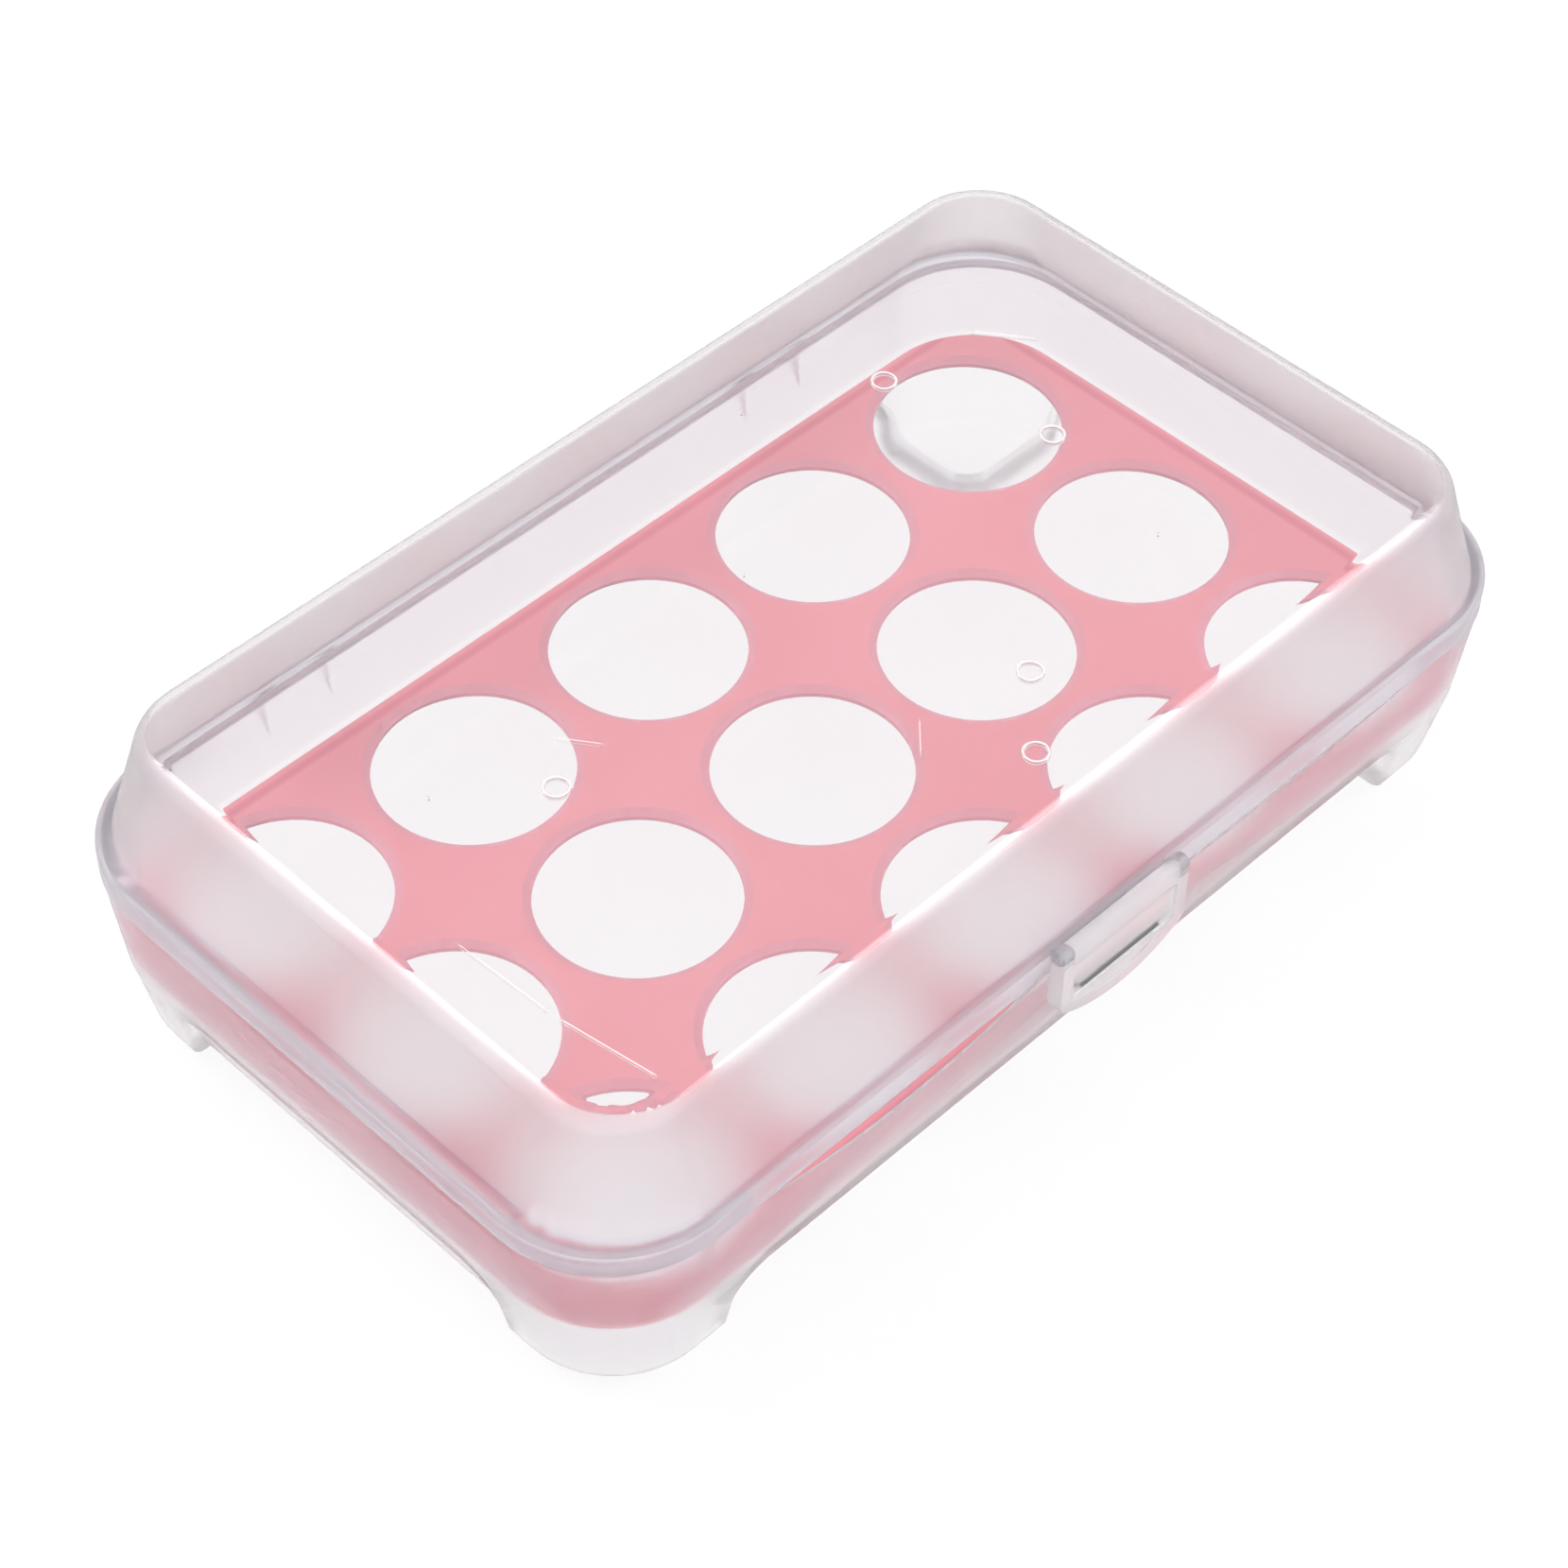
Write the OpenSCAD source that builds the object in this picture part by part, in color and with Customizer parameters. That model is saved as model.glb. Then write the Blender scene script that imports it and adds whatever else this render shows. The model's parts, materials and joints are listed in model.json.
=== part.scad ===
// Egg keeper with flip lid: a two-shell food box for 15 eggs.
// Base tub, lift-out egg tray, hinged lid and front latch flap.
// Millimetres, +Z up, origin on the table under the middle of the box, latch side facing -Y.

/* [Closure outline] */
// Length of the box over the lid's band
box_l = 242.6; // [225:0.2:300]
// Depth of the box over the lid's band
box_w = 145.2; // [136:0.2:200]
// Corner radius of the lid's band, seen from above
band_r = 25; // [22:0.5:27]
// Height of the parting line, where the lid's band lands on the base
parting_z = 38; // [35:0.5:48]
// How far the rim of the base stands back from the face of the lid's band
rim_step = 0.2; // [0:0.05:0.5]

/* [Base tub] */
// Wall of the base tub
base_wall = 1.2; // [1:0.1:1.5]
// Ledge underside: full-width wall above, set-back tub and feet below
ledge_z = 17; // [15:0.5:18]
// Inward lean of the wall above the ledge, per mm of height
wall_lean = 0.1; // [0.08:0.01:0.1]
// Inward lean of the feet and the lower tub, per mm of height
foot_lean = 0.2; // [0.1:0.01:0.22]
// How far the lower tub is set back on the long sides
setback_long = 3.5; // [3:0.5:6]
// How far the lower tub is set back on the short sides
setback_short = 1.5; // [1.2:0.1:4]
// Height of the lower tub's underside over the table
tub_rise = 5; // [3:0.5:6]
// Radius under the lower tub
tub_r = 4; // [2:0.5:5]
// Corner radius of the lower tub, seen from above
tub_corner_r = 15; // [10:0.5:19]
// Size of a corner foot along the long side
foot_l = 30; // [24:0.5:40]
// Size of a corner foot along the short side
foot_w = 28; // [24:0.5:34]
// Plan radius of a foot's inner corner
foot_corner_r = 6; // [3:0.5:8]
// Radius of the arch between a foot and the ledge
arch_r = 8; // [4:0.5:9]
// Radius round a foot's sole
sole_r = 3; // [2:0.5:4]
// Height of the tongue that stands up inside the lid's band
tongue_h = 2; // [1.5:0.1:3]
// Thickness of that tongue
tongue_t = 1.1; // [0.9:0.1:1.3]
// Height of the thicker collar under the parting line
collar_h = 3; // [2:0.5:5]
// Distance of the finger dips in the front rim from its middle
dip_x = 50; // [40:1:56]
// Half width of a finger dip, at the parting line
dip_half_w = 35; // [15:1:36]
// Depth of the finger dip left of the latch
dip_left = 4.6; // [1:0.2:6]
// Depth of the shallower dip right of the latch
dip_right = 1.6; // [1:0.2:6]
// Inward slope of the dips, in degrees
dip_slope = 50; // [30:1:60]
// Half width of the catch rib behind the latch flap
catch_half_w = 9; // [6:1:10]
// Reach of the catch rib from the base wall
catch_reach = 1.2; // [0.8:0.1:1.6]
// Height of the catch rib's blunt face
catch_face_h = 0.8; // [0.6:0.1:1.2]
// Height over which the catch rib slopes back to the wall
catch_slope_h = 2.4; // [1.6:0.1:3]

/* [Lid] */
// Height of the closed box over all
total_h = 66.5; // [60:0.5:90]
// Wall of the lid
lid_wall = 1.2; // [1:0.1:1.5]
// Thickness of the clear top panel
lid_top_t = 1.4; // [1.2:0.1:2]
// Height of the lid's band, from its lower edge to its shelf
band_h = 5.7; // [5.2:0.1:8]
// Width of the shelf between band and lid wall on the short sides
shelf_short = 3.7; // [3:0.1:6]
// Width of the shelf between band and lid wall on the long sides
shelf_long = 2.1; // [1.8:0.1:5]
// Corner radius of the lid wall at the shelf
lid_corner_r = 22; // [20:0.5:24]
// Inward lean of the lid wall, per mm of height
lid_lean = 0.3; // [0.15:0.01:0.34]
// Fillet round the clear top panel
lid_fillet_r = 4.5; // [3:0.5:5]
// Bevel round the top of the band
band_bevel = 1; // [0.5:0.1:1.1]

/* [Egg tray] */
// Holes along the long side
holes_x = 5; // [4:1:5]
// Holes along the short side
holes_y = 3; // [2:1:3]
// Pitch of the holes along the long side
pitch_x = 45; // [43:0.1:45.5]
// Pitch of the holes along the short side
pitch_y = 44.3; // [43:0.1:44.5]
// Diameter of an egg hole
hole_d = 38.6; // [34:0.2:39]
// Width of the bevel round each egg hole
hole_bevel = 1.6; // [0.8:0.1:1.8]
// Depth of that bevel
hole_bevel_h = 0.9; // [0.5:0.1:1]
// Thickness of the tray's plate
tray_t = 1.8; // [1.5:0.1:2.2]
// Depth of the tray's skirt below its top
tray_skirt_h = 3.7; // [3:0.1:6]
// Wall of the tray's skirt
tray_skirt_t = 1.4; // [1:0.1:2]
// Radius round the tray's top edge
tray_edge_r = 0.8; // [0.4:0.1:1]

/* [Latch flap] */
// Width of the latch flap
flap_w = 32.6; // [30:0.2:44]
// Distance from the flap's hinge axis to its lowest edge
flap_drop = 18.3; // [17:0.1:24]
// Height of the flap's curved lower end
flap_bow = 4.8; // [3:0.2:6]
// Thickness of the flap's plate
flap_t = 1.3; // [1.2:0.1:1.6]
// Width of the flange that runs round the back of the plate
flange_t = 1.2; // [1:0.1:1.6]
// Radius of the barrel along the flap's top edge
barrel_r = 1.6; // [1.5:0.1:2.2]
// Radius of the pins at both ends of the barrel
flap_pin_r = 0.8; // [0.6:0.05:0.9]
// Thickness of the ears that carry the flap
flap_ear_t = 2.4; // [1.6:0.1:4]
// Depth of the sunk panel in the flap's face
panel_depth = 0.5; // [0.3:0.1:0.6]
// Width of the raised border round that panel
panel_border = 2.8; // [2:0.1:4]
// Radius of the flap's lower corners, seen from the front
flap_corner_r = 3; // [1.5:0.1:4]
// Least radius of those corners inside the border and inside the flange
flap_inner_r = 0.5; // [0.3:0.1:1]
// Drop of the flap's hinge axis below the shelf of the lid's band
flap_axis_drop = 0.5; // [0.3:0.1:1]
// Height of the bead on the back of the flap
bead_h = 1; // [0.8:0.1:1.4]

/* [Rear hinges] */
// Distance of a hinge from the middle of the rear side
hinge_x = 62; // [40:1:80]
// Radius of the trunnion pins on the lid
pin_r = 1; // [0.8:0.05:1.1]
// Radius of the eye round each pin
eye_r = 2; // [1.9:0.1:2.8]
// Width of the lid's knuckle between two ears
knuckle_w = 12; // [8:0.5:16]
// Thickness of each ear on the base
ear_t = 2.6; // [2:0.1:4]
// Height of the web under each ear
ear_web_h = 10; // [7:0.5:14]
// Drop of the rear hinge axis below the parting line
hinge_axis_drop = 0.4; // [0.2:0.1:0.8]

/* [Fits] */
// Gap between the lid's band and the tongue of the base
closure_gap = 0.25; // [0.2:0.05:0.3]
// Gap between the tray's edge and the wall of the tub
tray_gap = 0.4; // [0.3:0.05:0.6]
// Gap under the tray's skirt, under the lid's band and behind the flap
seat_gap = 0.3; // [0.2:0.05:0.4]
// Radial running gap of the hinge pins
pin_gap = 0.06; // [0.04:0.01:0.1]
// Side gap of the knuckles and of the flap's barrel
side_gap = 0.25; // [0.15:0.05:0.4]

/* [Hidden] */

smooth = 96;
fine = 720;
over = 1;
lap = 1;

// Both shells and the tray are swept round one straight-sided core: a wall is a radius outside it.
core_x = box_l / 2 - band_r;
core_y = box_w / 2 - band_r;
tongue_r = band_r - lid_wall - closure_gap;
tongue_in_r = tongue_r - tongue_t;
rim_r = band_r - rim_step;
ledge_r = rim_r - wall_lean * (parting_z - ledge_z);
ledge_top_z = ledge_z + base_wall;
tray_r = ledge_r - base_wall - tray_gap;
tray_top_z = ledge_top_z + seat_gap + tray_skirt_h;
tongue_top_z = parting_z + tongue_h;
collar_z = parting_z - collar_h;

// The lower tub has its own core, because its long sides are set back further.
tub_core_x = core_x + ledge_r - setback_short - tub_corner_r;
tub_core_y = core_y + ledge_r - setback_long - tub_corner_r;

// Corner feet reach inwards from the wall at the ledge.
foot_x = core_x + ledge_r - foot_l;
foot_y = core_y + ledge_r - foot_w;

// Lid
band_z = parting_z + seat_gap;
shelf_z = band_z + band_h;
lid_core_x = box_l / 2 - shelf_short - lid_corner_r;
lid_core_y = box_w / 2 - shelf_long - lid_corner_r;
lid_lean_a = atan(lid_lean);

// Rear hinge axis: the eye clears the lid's band.
axis_y = box_w / 2 + side_gap + eye_r;
axis_z = parting_z - hinge_axis_drop;
bore_r = pin_r + pin_gap;

// Latch flap: its barrel turns between two ears on the front of the lid's band.
band_face_y = -box_w / 2;
flap_back_y = band_face_y - seat_gap;
flap_axis_y = flap_back_y - barrel_r;
flap_axis_z = shelf_z - flap_axis_drop;
flap_face_y = flap_axis_y - barrel_r;
flap_plate_top_z = flap_axis_z - barrel_r - side_gap;
flap_low_z = flap_axis_z - flap_drop;
flap_bow_r = (flap_w * flap_w / 4 + flap_bow * flap_bow) / (2 * flap_bow);
barrel_half = flap_w / 2 - flap_ear_t - side_gap;
catch_z = flap_low_z + flap_bow;
catch_wall_y = -(core_y + rim_r - wall_lean * (parting_z - catch_z));
catch_tip_y = catch_wall_y - catch_reach;
bead_z = catch_z - bead_h - seat_gap;

// The latch stands out further than the hinges: the origin is under the middle of the whole.
mid_y = (axis_y + eye_r + flap_face_y) / 2;

// A half profile, given as a child that lies at x >= 0, swept round a core of half size cx, cy.
module sweep(cx, cy) {
    rotate([90, 0, 0]) linear_extrude(height = 2 * cy, center = true) {
        translate([cx, 0]) children();
        translate([-cx, 0]) mirror([1, 0]) children();
    }
    rotate([90, 0, 90]) linear_extrude(height = 2 * cx, center = true) {
        translate([cy, 0]) children();
        translate([-cy, 0]) mirror([1, 0]) children();
    }
    for (sx = [-1, 1], sy = [-1, 1])
        translate([sx * cx, sy * cy, 0])
            rotate([0, 0, sx > 0 ? (sy > 0 ? 0 : 270) : (sy > 0 ? 90 : 180)])
                rotate_extrude(angle = 90, $fn = smooth) children();
}

// The core of a solid sweep. It laps into the swept part, so that they join inside the material.
module core_block(cx, cy, z0, z1) {
    translate([-cx - lap, -cy - lap, z0]) cube([2 * (cx + lap), 2 * (cy + lap), z1 - z0]);
}

module solid_sweep(cx, cy, z0, z1) {
    sweep(cx, cy) children();
    core_block(cx, cy, z0, z1);
}

// Wall profile of the base above the ledge, moved inwards by inset.
module upper_profile(z0, z1, inset) {
    r0 = ledge_r + wall_lean * (z0 - ledge_z) - inset;
    r1 = ledge_r + wall_lean * (z1 - ledge_z) - inset;
    polygon([[0, z0], [r0, z0], [r1, z1], [0, z1]]);
}

// A leaning wall with a rounded lower edge, for the feet and the lower tub. Over z_top it tapers into
// the part above, so that the two join inside the material.
module round_profile(r_top, z_top, z_low, lean, fillet) {
    a = atan(lean);
    r_low = r_top - lean * (z_top - z_low);
    c_r = r_low - fillet * tan(45 - a / 2);
    c_z = z_low + fillet;
    polygon([
        [0, z_low], [c_r, z_low], [c_r, c_z],
        [c_r + fillet * cos(a), c_z - fillet * sin(a)],
        [r_top, z_top], [r_top - lap, z_top + lap], [0, z_top + lap]
    ]);
    translate([c_r, c_z]) circle(r = fillet, $fn = smooth);
}

// Plan of one corner foot, in the +X +Y corner, with a rounded inner corner.
module foot_plan(inset) {
    x0 = foot_x + inset;
    y0 = foot_y + inset;
    reach = foot_l + foot_w;
    r = foot_corner_r;
    translate([x0 + r, y0]) square([reach, reach]);
    translate([x0, y0 + r]) square([reach, reach]);
    translate([x0 + r, y0 + r]) circle(r = r, $fn = smooth);
}

// Concave web between a foot's side, at u = side, and the ledge.
module arch_profile(side, inset) {
    c_z = ledge_z - arch_r;
    difference() {
        translate([side - arch_r, c_z]) square([arch_r + inset + over, arch_r + inset + lap]);
        translate([side - arch_r, c_z]) circle(r = arch_r + inset, $fn = smooth);
    }
}

// The four corner feet with their arches, cut to the leaning outer wall.
module feet(inset) {
    r_top = ledge_r - inset;
    z_top = ledge_z + inset;
    intersection() {
        solid_sweep(core_x, core_y, inset, z_top + lap)
            round_profile(r_top + foot_lean * inset, z_top, inset, foot_lean, sole_r);
        for (sx = [0, 1], sy = [0, 1])
            mirror([sx, 0, 0]) mirror([0, sy, 0]) {
                translate([0, 0, -over]) linear_extrude(height = z_top + lap + 2 * over)
                    foot_plan(inset);
                translate([0, box_w / 2, 0]) rotate([90, 0, 0])
                    linear_extrude(height = foot_w / 2) arch_profile(foot_x, inset);
                translate([core_x, 0, 0]) rotate([90, 0, 90])
                    linear_extrude(height = foot_l) arch_profile(foot_y, inset);
            }
    }
}

// The whole form of the base up to z_top, moved inwards by inset: outside at 0, inside at base_wall.
module base_form(inset, z_top) {
    solid_sweep(core_x, core_y, ledge_z + inset, z_top)
        upper_profile(ledge_z + inset, z_top, inset);
    solid_sweep(tub_core_x, tub_core_y, tub_rise + inset, ledge_z + inset + lap)
        round_profile(tub_corner_r - inset, ledge_z + inset, tub_rise + inset, foot_lean, tub_r);
    feet(inset);
}

// Flat round cut through the front rim, sloping down to the inside. A box keeps it to the front wall,
// and lets it widen by no more than the tongue is high.
module finger_dip(x, depth) {
    square_depth = depth * cos(dip_slope);
    r = (dip_half_w * dip_half_w + square_depth * square_depth) / (2 * square_depth);
    half_at_tongue = dip_half_w + tongue_h;
    through = band_r - tongue_in_r + 2 * over;
    intersection() {
        translate([x, -(core_y + rim_r), parting_z - depth]) rotate([-dip_slope, 0, 0])
            translate([0, 0, r]) rotate([90, 0, 0]) cylinder(r = r, h = box_w, center = true, $fn = fine);
        translate([x - half_at_tongue, band_face_y - over, 0])
            cube([2 * half_at_tongue, through, tongue_top_z + over]);
    }
}

// Rib on the front wall that the latch flap hooks under.
module catch_rib() {
    translate([-catch_half_w, 0, 0]) rotate([90, 0, 90])
        linear_extrude(height = 2 * catch_half_w)
            polygon([
                [catch_wall_y + base_wall / 2, catch_z],
                [catch_tip_y, catch_z],
                [catch_tip_y, catch_z + catch_face_h],
                [catch_wall_y + base_wall / 2, catch_z + catch_face_h + catch_slope_h]
            ]);
}

// One ear of a rear hinge, from the wall of the base out to the eye round the pin.
module ear(x0) {
    wall_y = core_y + rim_r - base_wall / 2;
    foot_wall_y = wall_y - wall_lean * ear_web_h;
    translate([x0, 0, 0]) rotate([90, 0, 90]) linear_extrude(height = ear_t) difference() {
        union() {
            translate([axis_y, axis_z]) circle(r = eye_r, $fn = smooth);
            polygon([
                [wall_y, axis_z], [axis_y, axis_z], [axis_y + eye_r, axis_z],
                [foot_wall_y, axis_z - ear_web_h]
            ]);
        }
        translate([axis_y, axis_z]) circle(r = bore_r, $fn = smooth);
    }
}

module hinge_ears() {
    for (s = [-1, 1]) {
        ear(s * hinge_x - knuckle_w / 2 - side_gap - ear_t);
        ear(s * hinge_x + knuckle_w / 2 + side_gap);
    }
}

module base_tub() {
    color([0.93, 0.92, 0.94, 0.45]) translate([0, -mid_y, 0]) {
        difference() {
            union() {
                base_form(0, parting_z);
                solid_sweep(core_x, core_y, parting_z - over, tongue_top_z)
                    translate([0, parting_z - over]) square([tongue_r, tongue_h + over]);
                catch_rib();
            }
            base_form(base_wall, collar_z - base_wall);
            solid_sweep(core_x, core_y, collar_z - 2 * base_wall, tongue_top_z + over)
                polygon([
                    [0, collar_z - 2 * base_wall],
                    [ledge_r + wall_lean * (collar_z - 2 * base_wall - ledge_z) - base_wall,
                        collar_z - 2 * base_wall],
                    [ledge_r + wall_lean * (collar_z - base_wall - ledge_z) - base_wall,
                        collar_z - base_wall],
                    [tongue_in_r, collar_z],
                    [tongue_in_r, tongue_top_z + over],
                    [0, tongue_top_z + over]
                ]);
            finger_dip(-dip_x, dip_left);
            finger_dip(dip_x, dip_right);
        }
        hinge_ears();
    }
}

module tray_profile() {
    polygon([
        [0, tray_top_z - tray_skirt_h],
        [tray_r, tray_top_z - tray_skirt_h],
        [tray_r, tray_top_z - tray_edge_r],
        [tray_r - tray_edge_r, tray_top_z - tray_edge_r],
        [tray_r - tray_edge_r, tray_top_z],
        [0, tray_top_z]
    ]);
    translate([tray_r - tray_edge_r, tray_top_z - tray_edge_r]) circle(r = tray_edge_r, $fn = smooth);
}

module egg_tray() {
    skirt_z = tray_top_z - tray_skirt_h;
    under_z = tray_top_z - tray_t;
    inner_r = tray_r - tray_skirt_t;
    color([0.97, 0.66, 0.71]) translate([0, -mid_y, 0]) difference() {
        solid_sweep(core_x, core_y, skirt_z, tray_top_z) tray_profile();
        solid_sweep(core_x, core_y, skirt_z - over, under_z)
            translate([0, skirt_z - over]) square([inner_r, under_z - skirt_z + over]);
        for (i = [0 : holes_x - 1], j = [0 : holes_y - 1])
            translate([(i - (holes_x - 1) / 2) * pitch_x, (j - (holes_y - 1) / 2) * pitch_y, 0]) {
                translate([0, 0, under_z - over]) cylinder(d = hole_d, h = tray_t + 2 * over, $fn = smooth);
                translate([0, 0, tray_top_z - hole_bevel_h])
                    cylinder(d1 = hole_d, d2 = hole_d + 2 * hole_bevel, h = hole_bevel_h, $fn = smooth);
            }
    }
}

// Half profile of the lid above its shelf: leaning wall, fillet and flat top, moved inwards by wall.
module dome_profile(wall, z0, z1) {
    fillet = lid_fillet_r - (wall > 0 ? wall : 0);
    r_at = lid_corner_r - wall / cos(lid_lean_a);
    r0 = r_at + lid_lean * (shelf_z - z0);
    r_top = r_at + lid_lean * (shelf_z - z1);
    c_r = r_top - fillet * tan(45 - lid_lean_a / 2);
    c_z = z1 - fillet;
    polygon([
        [0, z0], [r0, z0],
        [c_r + fillet * cos(lid_lean_a), c_z + fillet * sin(lid_lean_a)],
        [c_r, c_z], [c_r, z1], [0, z1]
    ]);
    translate([c_r, c_z]) circle(r = fillet, $fn = smooth);
}

module band_profile() {
    polygon([
        [0, band_z], [band_r, band_z], [band_r, shelf_z - band_bevel],
        [band_r - band_bevel, shelf_z], [0, shelf_z]
    ]);
}

// Knuckle with its two trunnion pins, joined to the band of the lid.
module knuckle() {
    translate([-knuckle_w / 2, 0, 0]) rotate([90, 0, 90]) linear_extrude(height = knuckle_w) {
        translate([axis_y, axis_z]) circle(r = eye_r, $fn = smooth);
        polygon([
            [box_w / 2 - lid_wall / 2, band_z], [axis_y, axis_z], [axis_y + eye_r, axis_z],
            [box_w / 2 - lid_wall / 2, shelf_z - band_bevel]
        ]);
    }
    translate([-knuckle_w / 2 - side_gap - ear_t, axis_y, axis_z]) rotate([0, 90, 0])
        cylinder(r = pin_r, h = knuckle_w + 2 * (side_gap + ear_t), $fn = smooth);
}

// Ear on the front of the band that carries one end of the latch flap.
module flap_ear(x0) {
    root_y = band_face_y + lid_wall / 2;
    translate([x0, 0, 0]) rotate([90, 0, 90]) linear_extrude(height = flap_ear_t) difference() {
        union() {
            translate([flap_axis_y, flap_axis_z]) circle(r = barrel_r, $fn = smooth);
            polygon([
                [flap_axis_y, flap_axis_z - barrel_r], [root_y, flap_axis_z - barrel_r],
                [root_y, shelf_z - lid_wall / 2], [flap_axis_y, flap_axis_z + barrel_r]
            ]);
        }
        translate([flap_axis_y, flap_axis_z]) circle(r = flap_pin_r + pin_gap, $fn = smooth);
    }
}

module lid() {
    color([0.94, 0.93, 0.95, 0.45]) translate([0, -mid_y, 0]) {
        difference() {
            union() {
                solid_sweep(core_x, core_y, band_z, shelf_z) band_profile();
                solid_sweep(lid_core_x, lid_core_y, shelf_z - lid_wall, total_h)
                    dome_profile(0, shelf_z - lid_wall, total_h);
            }
            solid_sweep(core_x, core_y, band_z - over, shelf_z - lid_wall)
                translate([0, band_z - over]) square([band_r - lid_wall, band_h + over - lid_wall]);
            solid_sweep(lid_core_x, lid_core_y, shelf_z - 2 * lid_wall, total_h - lid_top_t)
                dome_profile(lid_wall, shelf_z - 2 * lid_wall, total_h - lid_top_t);
        }
        for (s = [-1, 1]) translate([s * hinge_x, 0, 0]) knuckle();
        flap_ear(-flap_w / 2);
        flap_ear(flap_w / 2 - flap_ear_t);
    }
}

// Face of the latch flap below its barrel, seen from the front, with round corners and a bowed end.
module flap_outline(inset) {
    half = flap_w / 2 - inset;
    r = max(flap_inner_r, flap_corner_r - inset);
    // The corner arcs touch the bow arc from inside, on the rays from its centre through their own.
    bow_z = flap_low_z + flap_bow_r;
    side = half - r;
    rise = sqrt(pow(flap_bow_r - inset - r, 2) - side * side);
    corner_z = bow_z - rise;
    translate([-half, corner_z]) square([2 * half, flap_plate_top_z - corner_z]);
    for (s = [-1, 1]) translate([s * side, corner_z]) circle(r = r, $fn = smooth);
    intersection() {
        translate([0, bow_z]) polygon([[0, 0], [2 * side, -2 * rise], [-2 * side, -2 * rise]]);
        translate([0, bow_z]) circle(r = flap_bow_r - inset, $fn = fine);
        translate([-half, flap_low_z]) square([2 * half, corner_z - flap_low_z]);
    }
}

// Barrel along the flap's top edge, with a pin at each end, and the neck that joins it to the plate.
module flap_barrel() {
    translate([-barrel_half, flap_axis_y, flap_axis_z]) rotate([0, 90, 0])
        cylinder(r = barrel_r, h = 2 * barrel_half, $fn = smooth);
    translate([-flap_w / 2, flap_axis_y, flap_axis_z]) rotate([0, 90, 0])
        cylinder(r = flap_pin_r, h = flap_w, $fn = smooth);
    translate([-barrel_half, flap_face_y, flap_plate_top_z - over])
        cube([2 * barrel_half, flap_t, flap_axis_z - flap_plate_top_z + over]);
}

// Bead on the back of the plate that passes just under the catch rib.
module flap_bead() {
    plate_y = flap_face_y + flap_t;
    tip_y = catch_tip_y - side_gap;
    translate([-catch_half_w, 0, 0]) rotate([90, 0, 90]) linear_extrude(height = 2 * catch_half_w)
        polygon([
            [plate_y - flap_t / 2, bead_z - bead_h], [plate_y, bead_z - bead_h],
            [tip_y, bead_z], [tip_y, bead_z + bead_h], [plate_y - flap_t / 2, bead_z + bead_h]
        ]);
}

module latch_flap() {
    depth = 2 * barrel_r;
    color([0.87, 0.85, 0.88, 0.6]) translate([0, -mid_y, 0]) {
        difference() {
            translate([0, flap_back_y, 0]) rotate([90, 0, 0])
                linear_extrude(height = depth) flap_outline(0);
            translate([0, flap_back_y + over, 0]) rotate([90, 0, 0])
                linear_extrude(height = depth - flap_t + over) flap_outline(flange_t);
            translate([0, flap_face_y + panel_depth, 0]) rotate([90, 0, 0])
                linear_extrude(height = panel_depth + over) flap_outline(panel_border);
        }
        flap_barrel();
        flap_bead();
    }
}

base_tub();
egg_tray();
lid();
latch_flap();
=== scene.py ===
# %% [markdown]
# Egg keeper with flip lid.
# The real box is four mouldings: a frosted tub on hollow corner feet, a coral pink egg tray, a lid
# with a polished top and frosted sides, and a small latch flap. Their shapes come with the frame,
# so this lesson is about finishes. It shows how clear, frosted and dyed plastic differ, how a shell
# of loose triangles becomes a smooth moulding, and how small marks make a clear panel visible.

# %% Load the frame
import json
import math
import bpy
from mathutils import Matrix, Vector


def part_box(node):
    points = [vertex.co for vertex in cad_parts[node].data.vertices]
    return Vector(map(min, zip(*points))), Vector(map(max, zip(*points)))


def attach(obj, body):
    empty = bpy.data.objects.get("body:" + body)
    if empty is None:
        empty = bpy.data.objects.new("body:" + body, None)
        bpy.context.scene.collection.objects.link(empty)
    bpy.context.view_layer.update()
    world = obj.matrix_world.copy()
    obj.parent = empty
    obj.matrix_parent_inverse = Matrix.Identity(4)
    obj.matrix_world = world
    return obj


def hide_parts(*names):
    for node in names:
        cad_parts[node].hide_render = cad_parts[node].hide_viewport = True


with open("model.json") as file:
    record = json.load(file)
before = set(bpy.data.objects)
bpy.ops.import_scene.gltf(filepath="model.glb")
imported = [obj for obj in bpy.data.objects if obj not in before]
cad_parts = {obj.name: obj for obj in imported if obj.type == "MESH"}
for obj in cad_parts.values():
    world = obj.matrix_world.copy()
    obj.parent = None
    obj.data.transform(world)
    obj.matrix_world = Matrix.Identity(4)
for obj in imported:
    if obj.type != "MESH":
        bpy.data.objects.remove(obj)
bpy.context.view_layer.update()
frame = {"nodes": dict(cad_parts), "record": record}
bpy.context.scene.view_settings.view_transform = "Standard"
print("nodes:", sorted(frame["nodes"]))

# %% [markdown]
# The camera. A product shot of a low box is taken from above one corner with a long lens, so that
# the sides stay nearly parallel. One could aim a camera by hand, but three angles, a distance and a
# target are easier to correct against a picture. The lens is given for a sensor 36 mm wide.

# %% Camera
AZIMUTH = math.radians(-45.92)
ELEVATION = math.radians(47.46)
ROLL = math.radians(1.06)
DISTANCE = 0.7022
TARGET = Vector((-0.00676, 0.00044, 0.022))
LENS_MM = 86.81
SENSOR_MM = 36
SEES_TO_M = 20

back = Vector((
    math.sin(AZIMUTH) * math.cos(ELEVATION),
    -math.cos(AZIMUTH) * math.cos(ELEVATION),
    math.sin(ELEVATION),
))
level = Vector((math.cos(AZIMUTH), math.sin(AZIMUTH), 0))
upright = back.cross(level)
right = level * math.cos(ROLL) + upright * math.sin(ROLL)
up = upright * math.cos(ROLL) - level * math.sin(ROLL)

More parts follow.
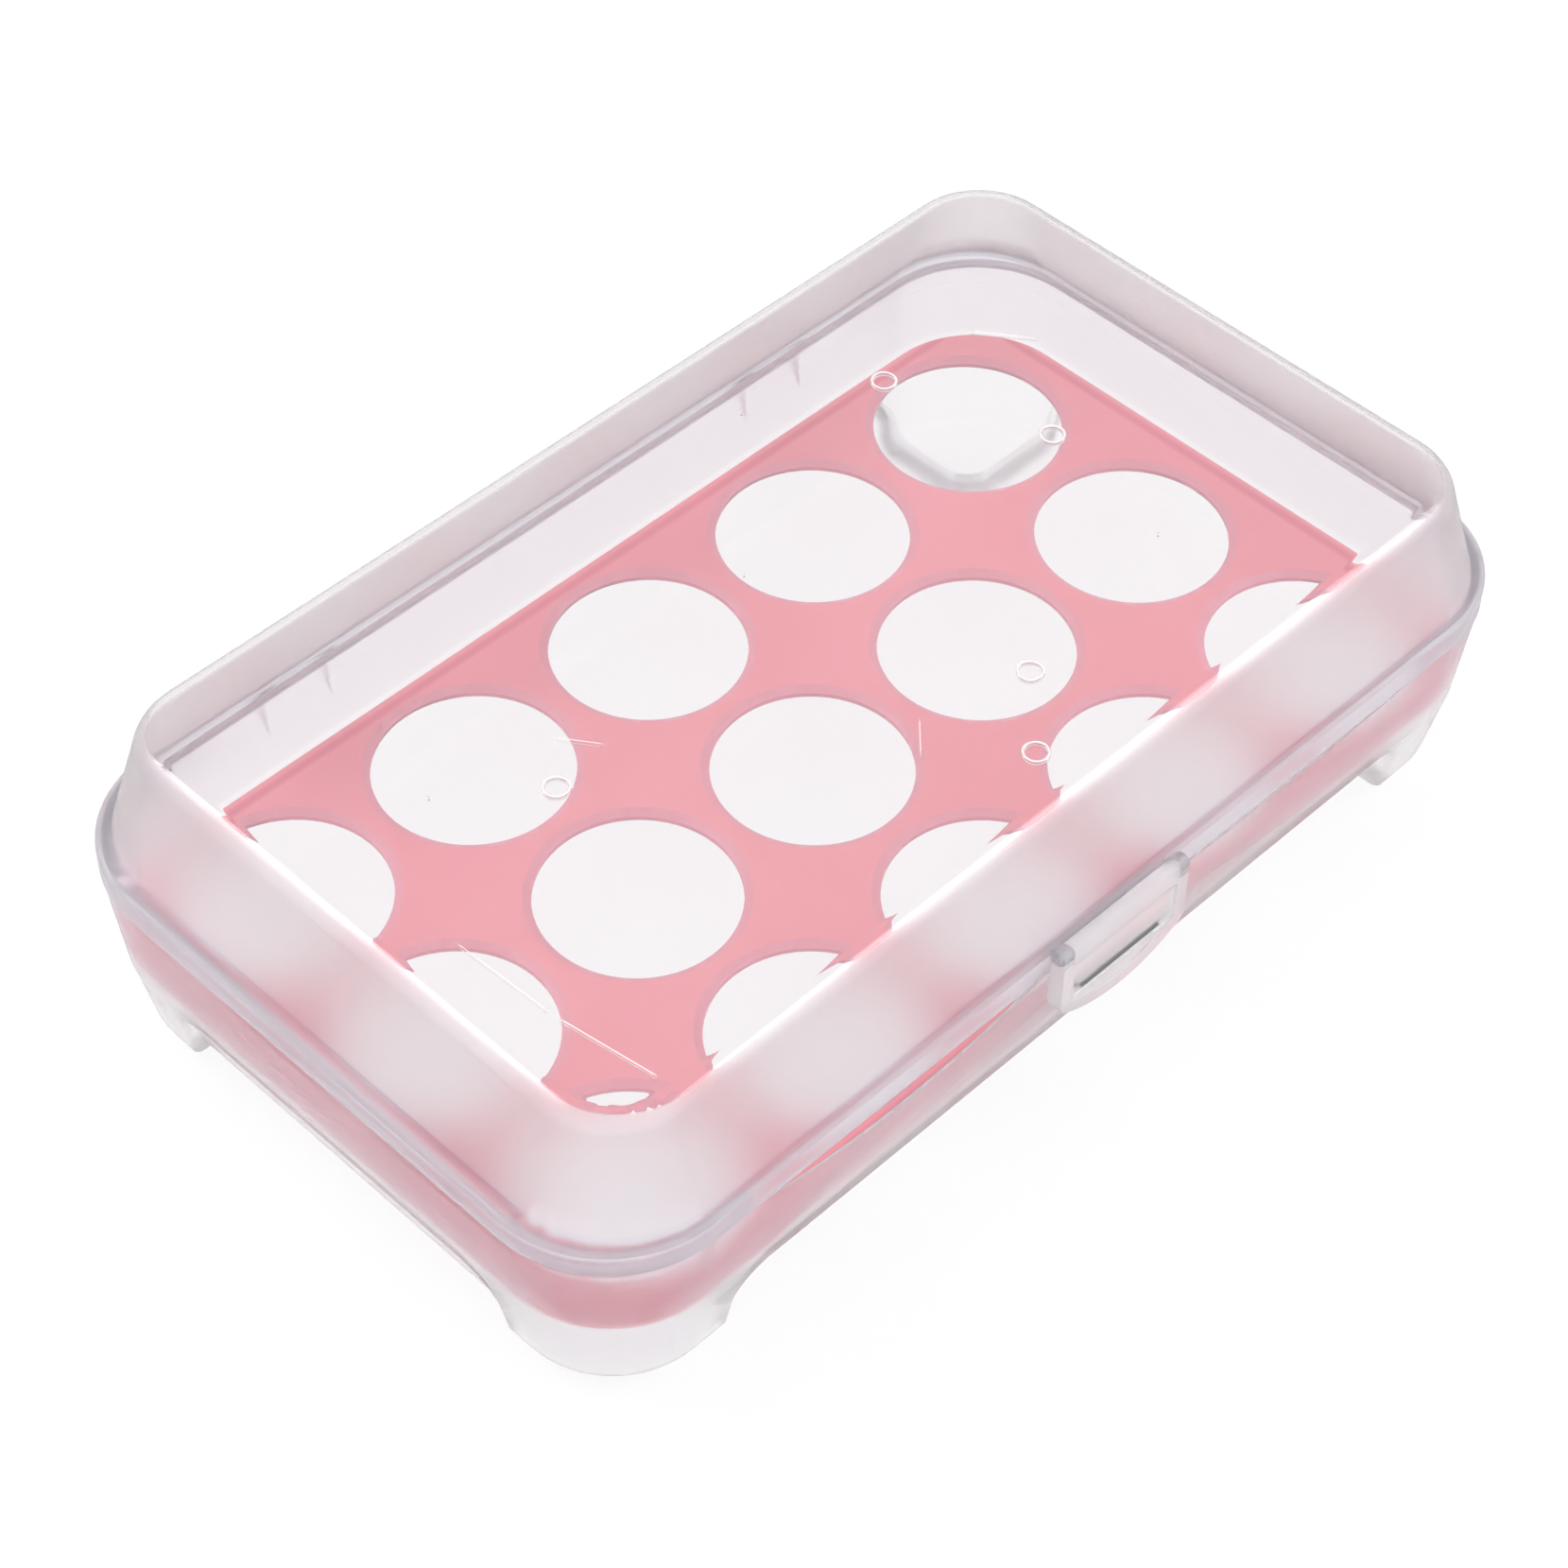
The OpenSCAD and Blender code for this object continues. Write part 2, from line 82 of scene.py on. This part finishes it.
camera = bpy.data.objects.new("camera", bpy.data.cameras.new("camera"))
camera.data.lens = LENS_MM
camera.data.sensor_width = SENSOR_MM
camera.data.clip_end = SEES_TO_M
turned = Matrix((right, up, back)).transposed().to_4x4()
camera.matrix_world = Matrix.Translation(TARGET + back * DISTANCE) @ turned
bpy.context.scene.collection.objects.link(camera)
bpy.context.scene.camera = camera
print("camera at", [round(v, 4) for v in camera.location])

# %% [markdown]
# Node helpers. A material is a small graph. Writing each link by hand hides the idea, so helpers do
# the plumbing: they make a material, add a step of arithmetic, turn a distance into a soft mask
# between 0 and 1, and give the place on a piece.

# %% Node helpers
def new_material(name):
    material = bpy.data.materials.new(name)
    material.use_nodes = True
    return material, material.node_tree.nodes, material.node_tree.links


def calc(tree, operation, *values):
    node = tree.nodes.new("ShaderNodeMath")
    node.operation = operation
    for socket, value in zip(node.inputs, values):
        if isinstance(value, bpy.types.NodeSocket):
            tree.links.new(value, socket)
        else:
            socket.default_value = value
    return node.outputs[0]


def soft_step(tree, value, start, end, low=0.0, high=1.0):
    node = tree.nodes.new("ShaderNodeMapRange")
    node.interpolation_type = "SMOOTHSTEP"
    tree.links.new(value, node.inputs["Value"])
    node.inputs["From Min"].default_value = start
    node.inputs["From Max"].default_value = end
    node.inputs["To Min"].default_value = low
    node.inputs["To Max"].default_value = high
    return node.outputs["Result"]


def band_mask(tree, value, middle, half, soft):
    away = calc(tree, "ABSOLUTE", calc(tree, "SUBTRACT", value, middle))
    return soft_step(tree, away, half, half + soft, 1.0, 0.0)


def place_axes(tree):
    place = tree.nodes.new("ShaderNodeTexCoord").outputs["Object"]
    split = tree.nodes.new("ShaderNodeSeparateXYZ")
    tree.links.new(place, split.inputs[0])
    return place, split.outputs["X"], split.outputs["Y"], split.outputs["Z"]


print("helpers ready")

# %% [markdown]
# More helpers. A cloudy noise stands for the uneven cooling of a moulding, a mix of two colours
# paints by a mask, and a bump turns a height into a tilt of the surface.

# %% Noise, colour and bump helpers
def clouds(tree, place, scale, detail=2.0):
    node = tree.nodes.new("ShaderNodeTexNoise")
    tree.links.new(place, node.inputs["Vector"])
    node.inputs["Scale"].default_value = scale
    node.inputs["Detail"].default_value = detail
    return node.outputs["Fac"]


def paint(tree, mask, under, over):
    node = tree.nodes.new("ShaderNodeMix")
    node.data_type = "RGBA"
    tree.links.new(mask, node.inputs["Factor"])
    for socket, colour in ((node.inputs[6], under), (node.inputs[7], over)):
        if isinstance(colour, bpy.types.NodeSocket):
            tree.links.new(colour, socket)
        else:
            socket.default_value = (*colour, 1)
    return node.outputs[2]


def relief(tree, height, depth):
    node = tree.nodes.new("ShaderNodeBump")
    node.inputs["Distance"].default_value = depth
    tree.links.new(height, node.inputs["Height"])
    return node.outputs["Normal"]


print("noise, colour and bump helpers ready")

# %% [markdown]
# The floor. Clear plastic shows what lies behind it, so the floor has to look white through the
# lid as well as beside it, and still take a shadow. A matt floor under a white world would turn
# grey near the box, and more light would wash out the box itself. The share of plain white glow is
# chosen by the kind of ray instead: full for rays through plastic or off a gloss, part for those
# straight from the camera, none for the rest.

# %% Floor
FLOOR_GLOW = 0.86
FLOOR_MATT = (0.9, 0.9, 0.9)
FLOOR_SIZE = 6
FLOOR_LEVEL = -0.0002


def floor_material():
    material, nodes, links = new_material("pale_floor")
    tree = material.node_tree
    nodes.remove(nodes["Principled BSDF"])
    path = nodes.new("ShaderNodeLightPath")
    seen = calc(tree, "MAXIMUM", path.outputs["Is Transmission Ray"], path.outputs["Is Glossy Ray"])
    seen_or_shown = calc(tree, "MAXIMUM", seen, path.outputs["Is Camera Ray"])
    share = calc(tree, "MULTIPLY_ADD", seen, 1 - FLOOR_GLOW, FLOOR_GLOW)
    matt = nodes.new("ShaderNodeBsdfDiffuse")
    matt.inputs["Color"].default_value = (*FLOOR_MATT, 1)
    glow = nodes.new("ShaderNodeEmission")
    glow.inputs["Strength"].default_value = 1.0
    mix = nodes.new("ShaderNodeMixShader")
    links.new(calc(tree, "MULTIPLY", share, seen_or_shown), mix.inputs[0])
    links.new(matt.outputs[0], mix.inputs[1])
    links.new(glow.outputs[0], mix.inputs[2])
    links.new(mix.outputs[0], nodes["Material Output"].inputs["Surface"])
    return material


bpy.ops.object.select_all(action="DESELECT")
bpy.ops.mesh.primitive_plane_add(size=FLOOR_SIZE, location=(0, 0, FLOOR_LEVEL))
floor = bpy.context.object
floor.name = "floor"
floor.data.materials.append(floor_material())
print("floor", FLOOR_SIZE, "m wide at", FLOOR_LEVEL)

# %% [markdown]
# The light. A white tent of soft light suits plastic that one can see through, because hard lamps
# cannot shine through a shell that bends light. The world is the tent. Two large round lamps add a
# little shape: one behind the box, one at its right front corner.

# %% World and lamps
TENT_STRENGTH = 1.0
LAMP_SIZE = 0.9
KEY_PLACE = (-0.5, 0.9, 1.3)
FILL_PLACE = (0.9, -0.7, 1.0)
KEY_POWER = 12
FILL_POWER = 8

world = bpy.data.worlds.new("studio")
bpy.context.scene.world = world
world.use_nodes = True
world.node_tree.nodes["Background"].inputs["Color"].default_value = (1, 1, 1, 1)
world.node_tree.nodes["Background"].inputs["Strength"].default_value = TENT_STRENGTH


def soft_lamp(name, place, power):
    lamp = bpy.data.objects.new(name, bpy.data.lights.new(name, "AREA"))
    lamp.data.shape = "DISK"
    lamp.data.size = LAMP_SIZE
    lamp.data.energy = power
    lamp.location = place
    lamp.rotation_euler = (TARGET - Vector(place)).to_track_quat("-Z", "Y").to_euler()
    bpy.context.scene.collection.objects.link(lamp)
    return lamp


for lamp in (
    soft_lamp("key_lamp", KEY_PLACE, KEY_POWER),
    soft_lamp("fill_lamp", FILL_PLACE, FILL_POWER),
):
    print(lamp.name, "power", lamp.data.energy)

# %% [markdown]
# Frosted plastic. The mould of the tub and of the lid's sides is blasted with fine grit, which
# leaves a satin skin. Light still comes through, but every ray leaves at a slightly other angle, so
# the coral tray behind it shows as soft pink clouds. High transmission with high roughness gives
# the clouds, and the rest of the light that is scattered white in the wall is the milky part. The
# lid and the tray bend light by 1.46 here, near the 1.49 or so of the plastic. The tub and the latch are
# given less, which is a choice for brightness and not a property of the plastic: in a trial at 1.46 the
# box came out about ten steps of 255 darker on average, and letting light bounce far more often changed
# that by about one step. The wall above the tray's ledge looks more lavender than the feet; that is
# painted light, the tray's pink glow scattered in the frosted wall, and it comes in with the height. The
# latch lies wholly above that and has one tint.

# %% Frosted plastic
FROST_GRAIN_SCALE = 2600
FROST_GRAIN_DEPTH = 0.000004
FROST_CLOUD_SCALE = 30
FROST_CLOUD_EDGES = (0.3, 0.7)
PLASTIC_IOR = 1.46
TUB_IOR = 1.18
TUB_ROUGHNESS = 0.50
ROUGHNESS_SPREAD = 0.03
FOOT_TINT = (0.965, 0.955, 0.972)
FOOT_WARM_TINT = (0.985, 0.962, 0.972)
TUB_WALL_FROM_Z = 0.0215
TUB_WALL_FADE = 0.001
# Painted light: the tray's pink glow scattered in the frosted wall above its ledge, not a tint of the
# plastic.
TUB_WALL_PAINTED_GLOW = (0.905, 0.865, 0.895)
LATCH_TINT = (0.975, 0.965, 0.975)
TUB_TRANSMISSION = 0.95
LATCH_TRANSMISSION = 0.72


def plastic_base(material, transmission, ior):
    shader = material.node_tree.nodes["Principled BSDF"]
    shader.inputs["IOR"].default_value = ior
    shader.inputs["Transmission Weight"].default_value = transmission
    return shader


def frosted(name, low, low_warm, high, transmission):
    material, _, links = new_material(name)
    tree = material.node_tree
    shader = plastic_base(material, transmission, TUB_IOR)
    place, _, _, z = place_axes(tree)
    cloud = clouds(tree, place, FROST_CLOUD_SCALE)
    # Above the ledge the upper colour comes in; on the tub that colour is painted pink light from the
    # tray.
    above = soft_step(tree, z, TUB_WALL_FROM_Z, TUB_WALL_FROM_Z + TUB_WALL_FADE)
    links.new(paint(tree, above, paint(tree, cloud, low, low_warm), high), shader.inputs["Base Color"])
    smoothest = TUB_ROUGHNESS - ROUGHNESS_SPREAD
    roughest = TUB_ROUGHNESS + ROUGHNESS_SPREAD
    links.new(soft_step(tree, cloud, *FROST_CLOUD_EDGES, smoothest, roughest), shader.inputs["Roughness"])
    grain = clouds(tree, place, FROST_GRAIN_SCALE, 1.0)
    links.new(relief(tree, grain, FROST_GRAIN_DEPTH), shader.inputs["Normal"])
    return material


tub_plastic = frosted("tub_plastic", FOOT_TINT, FOOT_WARM_TINT, TUB_WALL_PAINTED_GLOW, TUB_TRANSMISSION)
latch_plastic = frosted("latch_plastic", LATCH_TINT, LATCH_TINT, LATCH_TINT, LATCH_TRANSMISSION)
print("frosted plastics:", tub_plastic.name, latch_plastic.name)

# %% [markdown]
# The lid's plastic. One moulding has two finishes: the flat top and the inner two to three
# millimetres of its rounded edge are polished, the walls are frosted. Height alone cannot tell them
# apart, because the lower face of the top lies as deep as the middle of the rounded edge. The
# distance outside the rounded outline of the flat top can: it is the same for both faces. The
# stepped band at the foot of the lid looks a little more lavender than the walls, and that change
# does follow the height.

# %% Lid finish by place
TOP_CORE_X = 0.0946
TOP_CORE_Y = 0.0486
TOP_CORNER_RADIUS = 0.0119
POLISHED_TO = TOP_CORNER_RADIUS + 0.0018
FROSTED_FROM = TOP_CORNER_RADIUS + 0.0030
LID_MIDDLE_Y = -0.000375
BAND_TOP_Z = 0.0442
LID_CLEAR = (0.995, 0.99, 0.995)
LID_FROST = (0.960, 0.932, 0.952)
LID_BAND = (0.90, 0.885, 0.94)
BAND_FADE = 0.0006
LID_POLISH_ROUGHNESS = 0.015
LID_FROST_ROUGHNESS = 0.40
LID_WALL_TRANSMISSION = 0.94


def past(tree, value, limit):
    return calc(tree, "MAXIMUM", calc(tree, "SUBTRACT", calc(tree, "ABSOLUTE", value), limit), 0.0)


def lid_by_place(tree, x, y, z):
    past_x = calc(tree, "POWER", past(tree, x, TOP_CORE_X), 2.0)
    past_y = calc(tree, "POWER", past(tree, calc(tree, "SUBTRACT", y, LID_MIDDLE_Y), TOP_CORE_Y), 2.0)
    reach = calc(tree, "SQRT", calc(tree, "ADD", past_x, past_y))
    polished = soft_step(tree, reach, POLISHED_TO, FROSTED_FROM, 1.0, 0.0)
    in_band = soft_step(tree, z, BAND_TOP_Z, BAND_TOP_Z + BAND_FADE, 1.0, 0.0)
    wall = paint(tree, in_band, LID_FROST, LID_BAND)
    return polished, paint(tree, polished, wall, LID_CLEAR)


print("polished within", round(1000 * (POLISHED_TO - TOP_CORNER_RADIUS), 1), "mm of the flat top")

# %% [markdown]
# Marks on the clear panel. A polished panel is hard to see until something is wrong with it. This
# one has five faint rings about 5 mm wide, where drops dried, a long hairline scratch, finer ones
# elsewhere, and a few specks caught in the plastic. Each mark is a mask made from distances, in
# metres on the panel, so that all of them stay put when the box is seen from another side.

# %% Marks on the clear panel
RING_PLACES = (
    (0.0505, 0.0316), (0.0621, -0.0006), (-0.0640, -0.0013), (0.0138, -0.0391), (0.0001, -0.0529),
)
RING_RADIUS = 0.0023
RING_HALF_WIDTH = 0.00012
RING_SOFTNESS = 0.00015
SCRATCH_PLACES = (
    ((-0.0981, -0.0380), (-0.0948, -0.0590), 0.00009),
    ((-0.0992, -0.0146), (-0.0982, -0.0370), 0.00005),
    ((-0.0570, 0.0080), (-0.0510, -0.0005), 0.00006),
    ((0.0720, 0.0305), (0.0805, 0.0190), 0.00007),
    ((-0.0150, -0.0400), (-0.0080, -0.0330), 0.00005),
)
SPECK_PLACES = ((-0.0810, 0.0120), (0.0250, 0.0440), (-0.0050, 0.0130), (0.0560, -0.0320))
SPECK_RADIUS = 0.00032
SCRATCH_FADE = 0.002


def distance_to(tree, x, y, centre):
    across = calc(tree, "SUBTRACT", x, centre[0])
    along = calc(tree, "SUBTRACT", y, centre[1])
    squares = calc(tree, "ADD", calc(tree, "POWER", across, 2.0), calc(tree, "POWER", along, 2.0))
    return calc(tree, "SQRT", squares)


def line_mask(tree, x, y, start, end, half):
    start, end = Vector(start), Vector(end)
    length = (end - start).length
    way = (end - start) / length
    dx = calc(tree, "SUBTRACT", x, start.x)
    dy = calc(tree, "SUBTRACT", y, start.y)
    along = calc(tree, "ADD", calc(tree, "MULTIPLY", dx, way.x), calc(tree, "MULTIPLY", dy, way.y))
    across = calc(tree, "SUBTRACT", calc(tree, "MULTIPLY", dx, -way.y), calc(tree, "MULTIPLY", dy, -way.x))
    thin = band_mask(tree, across, 0.0, half, half)
    stretch = band_mask(tree, along, length / 2, length / 2 - SCRATCH_FADE, SCRATCH_FADE)
    return calc(tree, "MULTIPLY", thin, stretch)


def all_of(tree, masks):
    total = masks[0]
    for mask in masks[1:]:
        total = calc(tree, "MAXIMUM", total, mask)
    return total


print(len(RING_PLACES), "rings,", len(SCRATCH_PLACES), "scratches,", len(SPECK_PLACES), "specks")

# %% [markdown]
# The lid's material brings the finish and the marks together. Each could have a material of its
# own, but one moulding is one plastic, so masks choose between polish, frost, band and marks. The
# rings and scratches scatter a little light, the specks darken it, and a slow wave in the surface
# keeps reflections from looking machined.

# %% Lid material
SPECK_COLOUR = (0.30, 0.27, 0.30)
SPECK_SHARE = 0.6
MARK_HAZE = 0.45
MARK_ROUGHNESS = 0.3
WAVE_SCALE = 26
WAVE_SHARE = 0.5
RING_SHARE = 0.5
LID_RELIEF_DEPTH = 0.00012


def lid_material():
    material, _, links = new_material("lid_plastic")
    tree = material.node_tree
    shader = plastic_base(material, 1.0, PLASTIC_IOR)
    place, x, y, z = place_axes(tree)
    polished, colour = lid_by_place(tree, x, y, z)
    rings = all_of(tree, [
        band_mask(tree, distance_to(tree, x, y, centre), RING_RADIUS, RING_HALF_WIDTH, RING_SOFTNESS)
        for centre in RING_PLACES
    ])
    scratches = all_of(tree, [line_mask(tree, x, y, *scratch) for scratch in SCRATCH_PLACES])
    specks = all_of(tree, [
        soft_step(tree, distance_to(tree, x, y, centre), SPECK_RADIUS * 0.5, SPECK_RADIUS, 1.0, 0.0)
        for centre in SPECK_PLACES
    ])
    specks = calc(tree, "MULTIPLY", specks, polished)
    white = calc(tree, "MULTIPLY", calc(tree, "MAXIMUM", rings, scratches), polished)
    marked = paint(tree, calc(tree, "MULTIPLY", specks, SPECK_SHARE), colour, SPECK_COLOUR)
    links.new(marked, shader.inputs["Base Color"])
    clear = soft_step(tree, polished, 0.0, 1.0, LID_WALL_TRANSMISSION, 1.0)
    hazy = calc(tree, "MULTIPLY", calc(tree, "MAXIMUM", white, specks), MARK_HAZE)
    links.new(calc(tree, "SUBTRACT", clear, hazy), shader.inputs["Transmission Weight"])
    rough = soft_step(tree, polished, 0.0, 1.0, LID_FROST_ROUGHNESS, LID_POLISH_ROUGHNESS)
    rough = calc(tree, "MAXIMUM", rough, calc(tree, "MULTIPLY", white, MARK_ROUGHNESS))
    links.new(rough, shader.inputs["Roughness"])
    waves = calc(tree, "MULTIPLY", clouds(tree, place, WAVE_SCALE, 1.0), WAVE_SHARE)
    height = calc(tree, "ADD", waves, calc(tree, "MULTIPLY", rings, RING_SHARE))
    links.new(relief(tree, height, LID_RELIEF_DEPTH), shader.inputs["Normal"])
    return material


lid_plastic = lid_material()
print("lid material nodes:", len(lid_plastic.node_tree.nodes))

# %% [markdown]
# The tray's plastic is dyed through, so it has no transmission. It still isn't one flat colour: the bevel
# round each egg hole and the outermost edge are painted a more lavender pink, a painted sheen for light
# caught on those tilted faces, a line of painted shade runs just inside that edge over the skirt beneath,
# and the colour is a little uneven from the flow of the melt. The holes repeat, so one distance to the
# nearest hole centre serves them all.

# %% Tray material
HOLE_PITCH_X = 0.045
HOLE_PITCH_Y = 0.0443
HOLE_RADIUS = 0.0193
COLUMNS_EACH_SIDE = 2
ROWS_EACH_SIDE = 1
BEVEL_WIDTH = 0.0014
BEVEL_SOFTNESS = 0.0003
# Where the line of painted shade runs, over the skirt just inside the tray's edge.
SHADE_LINE_FROM_EDGE = 0.0024
SHADE_LINE_HALF_WIDTH = 0.0003
SHADE_LINE_SOFTNESS = 0.0012
EDGE_FADE = (0.0002, 0.0010)
FLOW_SCALE = 22
FLOW_DETAIL = 3.0
FLOW_EDGES = (0.35, 0.65)
TRAY_ROUGHNESS = 0.36
TRAY_GRAIN_SCALE = 900
TRAY_GRAIN_DEPTH = 0.000006
ROW_MIDDLE_Y = (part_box("egg_tray")[0][1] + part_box("egg_tray")[1][1]) / 2
TRAY_HALF_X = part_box("egg_tray")[1][0]
TRAY_HALF_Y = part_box("egg_tray")[1][1] - ROW_MIDDLE_Y
TRAY_CORAL = (0.93, 0.375, 0.425)
TRAY_FLOW = (0.91, 0.350, 0.400)
# Painted sheen: a more lavender pink for light caught on the hole bevels and the rounded outer edge.
TRAY_PAINTED_SHEEN = (0.85, 0.38, 0.45)
# Painted shade: the darker colour of that line.
TRAY_PAINTED_SHADE = (0.83, 0.27, 0.33)


def nearest_centre(tree, value, pitch, furthest):
    step = calc(tree, "ROUND", calc(tree, "DIVIDE", value, pitch))
    step = calc(tree, "MAXIMUM", calc(tree, "MINIMUM", step, furthest), -furthest)
    return calc(tree, "SUBTRACT", value, calc(tree, "MULTIPLY", step, pitch))


def tray_material():
    material, nodes, links = new_material("tray_plastic")
    tree = material.node_tree
    shader = nodes["Principled BSDF"]
    shader.inputs["IOR"].default_value = PLASTIC_IOR
    shader.inputs["Roughness"].default_value = TRAY_ROUGHNESS
    place, x, y, _ = place_axes(tree)
    y = calc(tree, "SUBTRACT", y, ROW_MIDDLE_Y)
    from_column = nearest_centre(tree, x, HOLE_PITCH_X, COLUMNS_EACH_SIDE)
    from_row = nearest_centre(tree, y, HOLE_PITCH_Y, ROWS_EACH_SIDE)
    reach = distance_to(tree, from_column, from_row, (0, 0))
    bevel = band_mask(tree, reach, HOLE_RADIUS + BEVEL_WIDTH / 2, BEVEL_WIDTH / 2, BEVEL_SOFTNESS)
    from_edge = calc(
        tree, "MINIMUM",
        calc(tree, "SUBTRACT", TRAY_HALF_X, calc(tree, "ABSOLUTE", x)),
        calc(tree, "SUBTRACT", TRAY_HALF_Y, calc(tree, "ABSOLUTE", y)),
    )
    shade_line = band_mask(tree, from_edge, SHADE_LINE_FROM_EDGE, SHADE_LINE_HALF_WIDTH, SHADE_LINE_SOFTNESS)
    edge = soft_step(tree, from_edge, *EDGE_FADE, 1.0, 0.0)
    flow = soft_step(tree, clouds(tree, place, FLOW_SCALE, FLOW_DETAIL), *FLOW_EDGES)
    colour = paint(tree, flow, TRAY_CORAL, TRAY_FLOW)
    # A line of painted shade just inside the edge.
    colour = paint(tree, shade_line, colour, TRAY_PAINTED_SHADE)
    # The hole bevels and the outer edge get the painted sheen.
    colour = paint(tree, calc(tree, "MAXIMUM", bevel, edge), colour, TRAY_PAINTED_SHEEN)
    links.new(colour, shader.inputs["Base Color"])
    grain = clouds(tree, place, TRAY_GRAIN_SCALE)
    links.new(relief(tree, grain, TRAY_GRAIN_DEPTH), shader.inputs["Normal"])
    return material


tray_plastic = tray_material()
print("tray half sizes in mm:", round(TRAY_HALF_X * 1000, 1), round(TRAY_HALF_Y * 1000, 1))

# %% [markdown]
# Dressing the nodes. A node of the frame is a shell of loose triangles, and each triangle is flat,
# so it would show facets. It is left as it is, and a copy takes its place: doubles are merged, the
# faces are shaded smooth wherever they meet at a small angle, and a weighted normal modifier keeps
# the large flat panels flat right up to their rounded edges.

# %% Dress the nodes
SMOOTH_BELOW = math.radians(25)
MERGE_WITHIN = 0.000002
MATERIALS = {
    "base_tub": tub_plastic,
    "egg_tray": tray_plastic,
    "lid": lid_plastic,
    "latch_flap": latch_plastic,
}


def own_copy(node):
    source = frame["nodes"][node]
    piece = source.copy()
    piece.data = source.data.copy()
    piece.name = node + "_moulding"
    piece.parent = None
    for key in list(piece.keys()):
        if key.startswith("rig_"):
            del piece[key]
    bpy.context.scene.collection.objects.link(piece)
    return piece


def smooth_moulding(piece):
    bpy.ops.object.select_all(action="DESELECT")
    piece.select_set(True)
    bpy.context.view_layer.objects.active = piece
    bpy.ops.object.mode_set(mode="EDIT")
    bpy.ops.mesh.select_all(action="SELECT")
    bpy.ops.mesh.remove_doubles(threshold=MERGE_WITHIN)
    bpy.ops.object.mode_set(mode="OBJECT")
    bpy.ops.object.shade_smooth_by_angle(angle=SMOOTH_BELOW)
    weighted = piece.modifiers.new("even_normals", "WEIGHTED_NORMAL")
    weighted.keep_sharp = True


def body_of(node):
    bodies = frame["record"]["behaviour"]["bodies"]
    return next(body for body, nodes in bodies.items() if node in nodes)


for node in frame["nodes"]:
    piece = own_copy(node)
    smooth_moulding(piece)
    piece.data.materials.clear()
    piece.data.materials.append(MATERIALS[node])
    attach(piece, body_of(node))
    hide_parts(node)
    print(node, "vertices", len(piece.data.vertices), "triangles", len(piece.data.polygons))
